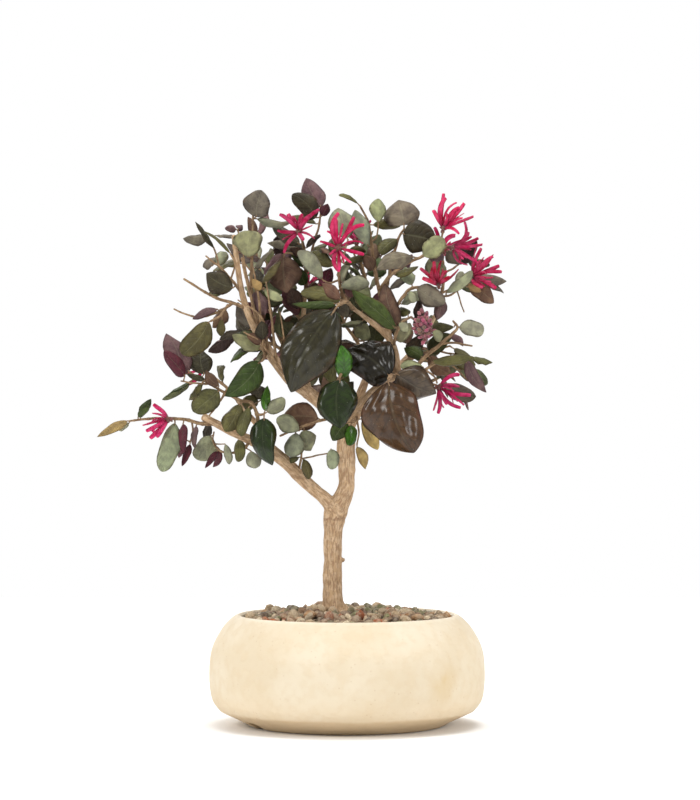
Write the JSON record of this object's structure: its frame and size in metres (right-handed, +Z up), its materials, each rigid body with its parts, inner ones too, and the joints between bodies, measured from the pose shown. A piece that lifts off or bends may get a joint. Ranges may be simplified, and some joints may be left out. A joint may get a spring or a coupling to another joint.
{
  "type": "chinese fringe flower bonsai",
  "caption": "Flowering fringe flower bonsai: a leaning trunk with airy crown of dark and green oval leaves and pink strap flowers, in a low round cream stoneware pot of soil and gravel.",
  "frame": {"origin": "centre of the pot's flat base, on the table", "axes": "+Z up the trunk, +X to the right seen from the tree's front, -Y towards the viewer at the front"},
  "size_m": [0.2555, 0.172, 0.3423],
  "materials": {
    "ceramic": "matt cream glaze, bare tan foot",
    "drain_mesh": "woven plastic screen",
    "soil": "damp dark soil",
    "gravel": "crushed mixed stone",
    "bark": "pale tan fissured bark",
    "leaf_green": "leathery olive leaf with a paler underside",
    "leaf_purple": "leathery purple-black leaf",
    "petal": "soft crimson-pink strap petal",
    "bud": "dusty pink felted bud"
  },
  "bodies": {
    "root": {"pot": "ceramic", "drain_screen_1": "drain_mesh", "drain_screen_2": "drain_mesh", "soil": "soil", "gravel": "gravel", "trunk": "bark", "spray_hero_left": "leaf_purple", "spray_hero_right": "leaf_purple", "spray_hero_middle": "leaf_green", "spray_low_tip": "leaf_purple", "spray_low_under": "leaf_green", "spray_mid_left": "leaf_green", "spray_limb_right": "leaf_purple", "spray_limb_small": "leaf_green", "spray_knuckle": "leaf_green", "spray_upper_left": "leaf_purple", "spray_upper_stub": "leaf_purple", "spray_upper_pair": "leaf_green", "spray_side_twigs": "leaf_green", "spray_left_fork": "leaf_green", "spray_top_middle": "leaf_purple", "spray_top_centre": "leaf_green", "spray_top_stem": "leaf_green", "spray_top_right": "leaf_green", "spray_right_top": "leaf_green", "spray_right_middle": "leaf_green", "spray_bud_stem": "leaf_purple", "spray_right_low": "leaf_green", "spray_right_reach": "leaf_purple", "spray_back_crown": "leaf_green", "spray_back_left": "leaf_purple", "spray_back_right": "leaf_green", "spray_back_low_left": "leaf_purple", "spray_back_middle": "leaf_green", "spray_back_low_right": "leaf_purple", "spray_inner_left": "leaf_green", "spray_inner_right": "leaf_purple", "spray_inner_top": "leaf_green", "spray_inner_crown": "leaf_purple", "bloom_top_left": "petal", "bloom_top_middle": "petal", "bloom_right_upper": "petal", "bloom_right_lower": "petal", "bloom_right_end": "petal", "bloom_red": "petal", "bloom_low_right": "petal", "bloom_far_left": "petal", "bloom_back_crown": "petal", "bloom_back_right": "petal", "bloom_back_left": "petal", "bloom_back_middle": "petal", "bud_bunch": "bud"}
  },
  "joints": []
}
